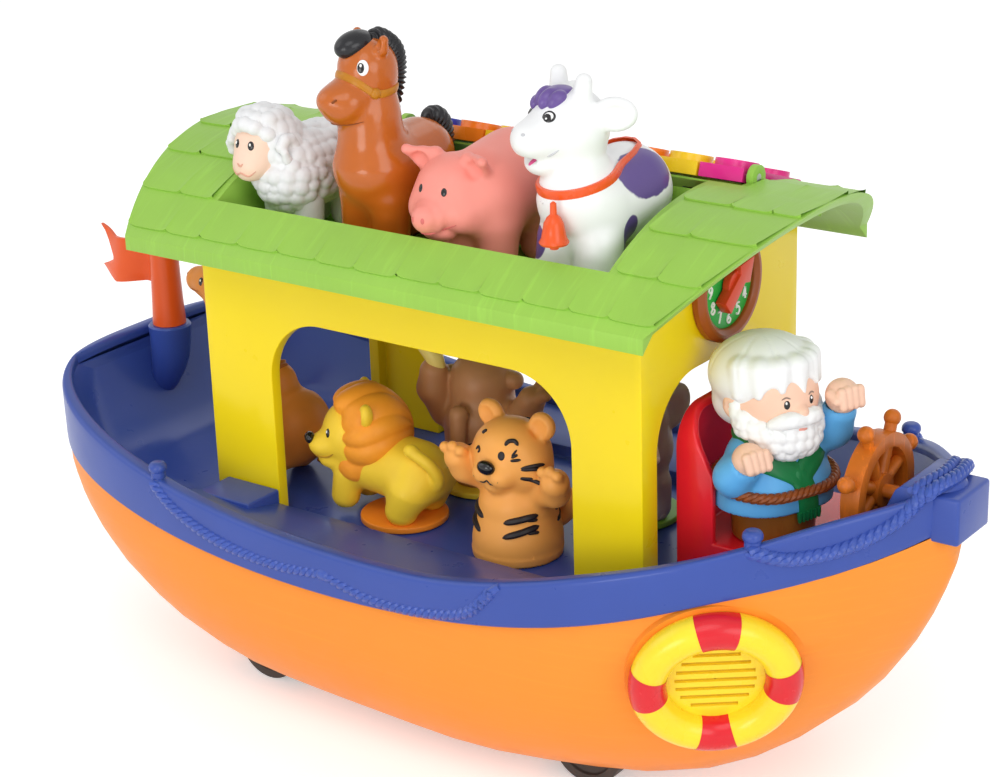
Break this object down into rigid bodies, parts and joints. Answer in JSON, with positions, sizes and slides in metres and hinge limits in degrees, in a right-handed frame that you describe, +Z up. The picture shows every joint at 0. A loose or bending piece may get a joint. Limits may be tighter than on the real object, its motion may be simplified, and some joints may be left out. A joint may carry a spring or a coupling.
{
  "type": "toy ark",
  "caption": "Rolling toy boat with an arched cabin, shingled roof with an animal tray and music keys, clock, helm, captain and lift-out animals.",
  "frame": {"origin": "on the ground under the middle of the overall length, in the boat's middle plane", "axes": "+X towards the bow, +Y to port, +Z up"},
  "size_m": [0.407, 0.1822, 0.2685],
  "materials": {
    "hull_orange": "moulded wood grain, satin",
    "deck_blue": "smooth, glossy",
    "cabin_yellow": "smooth, semi gloss",
    "roof_green": "moulded shingles, satin",
    "key_blue": "glossy",
    "key_orange": "glossy",
    "key_yellow": "glossy",
    "key_magenta": "glossy",
    "steel": "bright drawn",
    "pad_grey": "matt",
    "clock_brown": "glossy",
    "dial_green": "printed dial",
    "hand_red": "glossy",
    "seat_red": "glossy",
    "helm_brown": "moulded wood grain",
    "flag_orange": "glossy",
    "ring_yellow": "glossy with red painted bands",
    "speaker_black": "matt",
    "wheel_grey": "satin",
    "cell_black": "plain wrap",
    "board_green": "solder mask",
    "switch_black": "matt",
    "captain_paint": "painted vinyl, coat, skin, hair and scarf",
    "boot_brown": "painted vinyl",
    "sheep_white": "painted vinyl",
    "horse_brown": "painted vinyl",
    "pig_pink": "painted vinyl",
    "cow_white": "painted vinyl, purple spots",
    "lion_yellow": "painted vinyl",
    "disc_orange": "satin",
    "tiger_orange": "painted vinyl, dark stripes",
    "gorilla_brown": "painted vinyl",
    "disc_yellow": "satin",
    "elephant_grey": "painted vinyl",
    "disc_green": "satin",
    "camel_brown": "painted vinyl"
  },
  "bodies": {
    "boat": {"hull_shell": "hull_orange", "deck": "deck_blue", "cabin": "cabin_yellow", "roof": "roof_green", "key_rod": "steel", "key_pads": "pad_grey", "clock_bezel": "clock_brown", "clock_dial": "dial_green", "seat": "seat_red", "flag": "flag_orange", "life_ring": "ring_yellow", "speaker": "speaker_black", "axle_bearers": "hull_orange", "battery_box": "hull_orange", "battery_cells": "cell_black", "battery_contacts": "steel", "circuit_board": "board_green"},
    "front_axle_set": {"front_axle": "steel", "wheel_front_port": "wheel_grey", "wheel_front_starboard": "wheel_grey"},
    "rear_axle_set": {"rear_axle": "steel", "wheel_rear_port": "wheel_grey", "wheel_rear_starboard": "wheel_grey"},
    "clock_hand_body": {"clock_hand": "hand_red"},
    "helm": {"steering_wheel": "helm_brown"},
    "door": {"battery_door": "hull_orange", "door_screw": "steel"},
    "switch": {"power_switch": "switch_black"},
    "captain_figure": {"captain": "captain_paint", "captain_base": "boot_brown"},
    "sheep_figure": {"sheep": "sheep_white"},
    "horse_figure": {"horse": "horse_brown"},
    "pig_figure": {"pig": "pig_pink"},
    "cow_figure": {"cow": "cow_white"},
    "lion_figure": {"lion": "lion_yellow", "lion_base": "disc_orange"},
    "tiger_figure": {"tiger": "tiger_orange"},
    "gorilla_figure": {"gorilla": "gorilla_brown", "gorilla_base": "disc_yellow"},
    "elephant_figure": {"elephant": "elephant_grey", "elephant_base": "disc_green"},
    "camel_figure": {"camel": "camel_brown"},
    "key_1_body": {"key_1": "key_blue"},
    "key_2_body": {"key_2": "key_orange"},
    "key_3_body": {"key_3": "key_yellow"},
    "key_4_body": {"key_4": "key_magenta"},
    "key_5_body": {"key_5": "key_blue"},
    "key_6_body": {"key_6": "key_orange"},
    "key_7_body": {"key_7": "key_yellow"},
    "key_8_body": {"key_8": "key_magenta"}
  },
  "joints": [
    {"name": "front_axle_spin", "type": "hinge", "parent": "boat", "child": "front_axle_set", "pos_m": [0.076, 0, 0.015], "axis": [0, 1, 0], "continuous": true},
    {"name": "rear_axle_spin", "type": "hinge", "parent": "boat", "child": "rear_axle_set", "pos_m": [-0.078, 0, 0.015], "axis": [0, 1, 0], "continuous": true},
    {"name": "key_1_press", "type": "hinge", "parent": "boat", "child": "key_1_body", "pos_m": [-0.0321, 0.013, 0.2185], "axis": [-1, 0, 0], "range_deg": [0, 4], "stiffness_Nm_per_rad": 0.03, "springref_deg": -8.59},
    {"name": "key_2_press", "type": "hinge", "parent": "boat", "child": "key_2_body", "pos_m": [-0.0135, 0.013, 0.2185], "axis": [-1, 0, 0], "range_deg": [0, 4], "stiffness_Nm_per_rad": 0.03, "springref_deg": -8.59},
    {"name": "key_3_press", "type": "hinge", "parent": "boat", "child": "key_3_body", "pos_m": [0.0051, 0.013, 0.2185], "axis": [-1, 0, 0], "range_deg": [0, 4], "stiffness_Nm_per_rad": 0.03, "springref_deg": -8.59},
    {"name": "key_4_press", "type": "hinge", "parent": "boat", "child": "key_4_body", "pos_m": [0.0237, 0.013, 0.2185], "axis": [-1, 0, 0], "range_deg": [0, 4], "stiffness_Nm_per_rad": 0.03, "springref_deg": -8.59},
    {"name": "key_5_press", "type": "hinge", "parent": "boat", "child": "key_5_body", "pos_m": [0.0423, 0.013, 0.2185], "axis": [-1, 0, 0], "range_deg": [0, 4], "stiffness_Nm_per_rad": 0.03, "springref_deg": -8.59},
    {"name": "key_6_press", "type": "hinge", "parent": "boat", "child": "key_6_body", "pos_m": [0.0609, 0.013, 0.2185], "axis": [-1, 0, 0], "range_deg": [0, 4], "stiffness_Nm_per_rad": 0.03, "springref_deg": -8.59},
    {"name": "key_7_press", "type": "hinge", "parent": "boat", "child": "key_7_body", "pos_m": [0.0795, 0.013, 0.2185], "axis": [-1, 0, 0], "range_deg": [0, 4], "stiffness_Nm_per_rad": 0.03, "springref_deg": -8.59},
    {"name": "key_8_press", "type": "hinge", "parent": "boat", "child": "key_8_body", "pos_m": [0.0981, 0.013, 0.2185], "axis": [-1, 0, 0], "range_deg": [0, 4], "stiffness_Nm_per_rad": 0.03, "springref_deg": -8.59},
    {"name": "clock_hand_turn", "type": "hinge", "parent": "boat", "child": "clock_hand_body", "pos_m": [0.1042, 0, 0.183], "axis": [1, 0, 0], "continuous": true},
    {"name": "helm_turn", "type": "hinge", "parent": "boat", "child": "helm", "pos_m": [0.166, 0, 0.119], "axis": [1, 0, 0], "continuous": true},
    {"name": "door_lift_off", "type": "slide", "parent": "boat", "child": "door", "axis": [0, 0, -1], "range_m": [0, 0.03]},
    {"name": "switch_slide", "type": "slide", "parent": "boat", "child": "switch", "axis": [-1, 0, 0], "range_m": [0, 0.006]},
    {"name": "sheep_lift", "type": "slide", "parent": "boat", "child": "sheep_figure", "axis": [0, 0, 1], "range_m": [0, 0.1]},
    {"name": "horse_lift", "type": "slide", "parent": "boat", "child": "horse_figure", "axis": [0, 0, 1], "range_m": [0, 0.1]},
    {"name": "pig_lift", "type": "slide", "parent": "boat", "child": "pig_figure", "axis": [0, 0, 1], "range_m": [0, 0.1]},
    {"name": "cow_lift", "type": "slide", "parent": "boat", "child": "cow_figure", "axis": [0, 0, 1], "range_m": [0, 0.1]},
    {"name": "lion_lift", "type": "slide", "parent": "boat", "child": "lion_figure", "axis": [0, -0.6, 0.8], "range_m": [0, 0.026]},
    {"name": "tiger_lift", "type": "slide", "parent": "boat", "child": "tiger_figure", "axis": [0, -0.6, 0.8], "range_m": [0, 0.026]},
    {"name": "gorilla_lift", "type": "slide", "parent": "boat", "child": "gorilla_figure", "axis": [-0.1498, 0.939, 0.3097], "range_m": [0, 0.11]},
    {"name": "elephant_lift", "type": "slide", "parent": "boat", "child": "elephant_figure", "axis": [-0.2002, 0.911, 0.3604], "range_m": [0, 0.11]},
    {"name": "camel_lift", "type": "slide", "parent": "boat", "child": "camel_figure", "axis": [-0.8, 0, 0.6], "range_m": [0, 0.075]},
    {"name": "captain_lift", "type": "slide", "parent": "boat", "child": "captain_figure", "axis": [0.4801, -0.6102, 0.6302], "range_m": [0, 0.12]}
  ]
}
